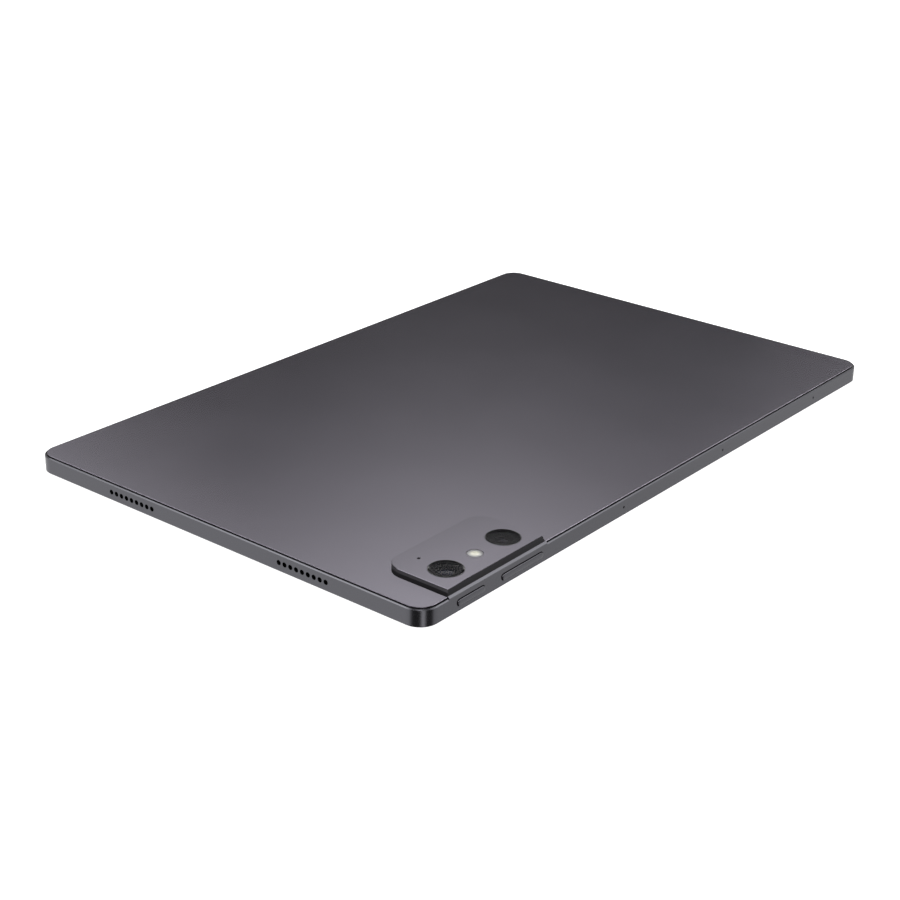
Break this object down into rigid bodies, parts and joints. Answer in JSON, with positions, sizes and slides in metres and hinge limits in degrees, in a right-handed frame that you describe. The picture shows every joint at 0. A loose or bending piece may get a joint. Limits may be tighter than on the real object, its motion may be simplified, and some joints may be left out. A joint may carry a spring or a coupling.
{
  "type": "tablet computer",
  "caption": "Slim grey aluminium tablet computer lying face down, with a raised corner camera deck, side buttons, loudspeaker holes and a card tray.",
  "frame": {"origin": "middle of the display glass's outer face, on which the tablet lies", "axes": "+X along the long side towards the charging port, +Y across towards the long side without buttons, +Z out of the rear cover"},
  "size_m": [0.279, 0.1804, 0.0099],
  "materials": {
    "frame_metal": "bead-blasted, anodised space grey",
    "cover_metal": "fine bead-blasted, anodised space grey",
    "deck_wall": "satin dark grey",
    "deck_black": "gloss black",
    "seam_rubber": "matt black",
    "lens_trim": "gloss black",
    "lens_glass": "coated dark glass",
    "flash_window": "milky diffuser",
    "led": "phosphor",
    "display_glass": "glossy cover glass, black behind",
    "display_adhesive": "foam tape",
    "lcd": "glossy panel",
    "backlight_sheet": "white reflector sheet",
    "flex_film": "amber polyimide film",
    "plate_metal": "stamped sheet",
    "board": "solder mask",
    "chip": "moulded epoxy",
    "can_steel": "tinned sheet",
    "graphite": "graphite film",
    "screw_steel": "machined",
    "battery_wrap": "pouch foil with black wrap",
    "white_tape": "stretch-release tape",
    "port_steel": "bright drawn steel",
    "black_plastic": "moulded black",
    "mesh": "fine black mesh",
    "cable_jacket": "thin jacket"
  },
  "bodies": {
    "body": {"side_frame": "frame_metal", "rear_cover": "cover_metal", "rear_cover_seal": "seam_rubber", "camera_deck": "cover_metal", "camera_deck_frame": "deck_wall", "camera_deck_base": "deck_black", "lens_ring_main": "lens_trim", "lens_ring_wide": "lens_trim", "lens_cover_main": "lens_glass", "lens_cover_wide": "lens_glass", "camera_module_main": "black_plastic", "camera_module_wide": "black_plastic", "flash_lens": "flash_window", "flash_led": "led", "deck_microphone": "can_steel", "cover_glass": "display_glass", "display_adhesive": "display_adhesive", "lcd_panel": "lcd", "backlight_unit": "backlight_sheet", "display_flex": "flex_film", "mid_plate": "plate_metal", "main_board": "board", "processor": "chip", "memory_chips": "chip", "power_chips": "chip", "shield_can_large": "can_steel", "shield_can_small": "can_steel", "graphite_sheet": "graphite", "board_connectors": "black_plastic", "board_screws": "screw_steel", "battery_cell_left": "battery_wrap", "battery_cell_right": "battery_wrap", "battery_adhesive": "white_tape", "battery_board": "board", "battery_flex": "flex_film", "sub_board": "board", "board_link_flex": "flex_film", "usb_c_shell": "port_steel", "usb_c_tongue": "black_plastic", "speaker_1": "black_plastic", "speaker_2": "black_plastic", "speaker_3": "black_plastic", "speaker_4": "black_plastic", "speaker_meshes": "mesh", "front_camera": "black_plastic", "front_camera_flex": "flex_film", "light_sensor": "black_plastic", "edge_microphones": "can_steel", "button_switches": "can_steel", "button_flex": "flex_film", "button_bracket": "screw_steel", "card_reader": "can_steel", "antenna_left": "black_plastic", "antenna_right": "black_plastic", "antenna_cables": "cable_jacket"},
    "power_button": {"power_button": "frame_metal"},
    "volume_rocker": {"volume_rocker": "frame_metal"},
    "card_tray": {"card_tray": "frame_metal"},
    "eject_rod": {"eject_rod": "screw_steel"}
  },
  "joints": [
    {"name": "power_button_press", "type": "slide", "parent": "body", "child": "power_button", "axis": [0, 1, 0], "range_m": [0, 0.0003], "stiffness_N_per_m": 400},
    {"name": "volume_rocker_tilt", "type": "hinge", "parent": "body", "child": "volume_rocker", "pos_m": [-0.08995, -0.0883, 0.0035], "axis": [0, 0, 1], "range_deg": [-1, 1], "stiffness_Nm_per_rad": 0.1},
    {"name": "card_tray_slide", "type": "slide", "parent": "body", "child": "card_tray", "axis": [1, 0, 0], "range_m": [0, 0.034]},
    {"name": "eject_rod_push", "type": "slide", "parent": "body", "child": "eject_rod", "axis": [-1, 0, 0], "range_m": [0, 0.0012], "stiffness_N_per_m": 50}
  ]
}
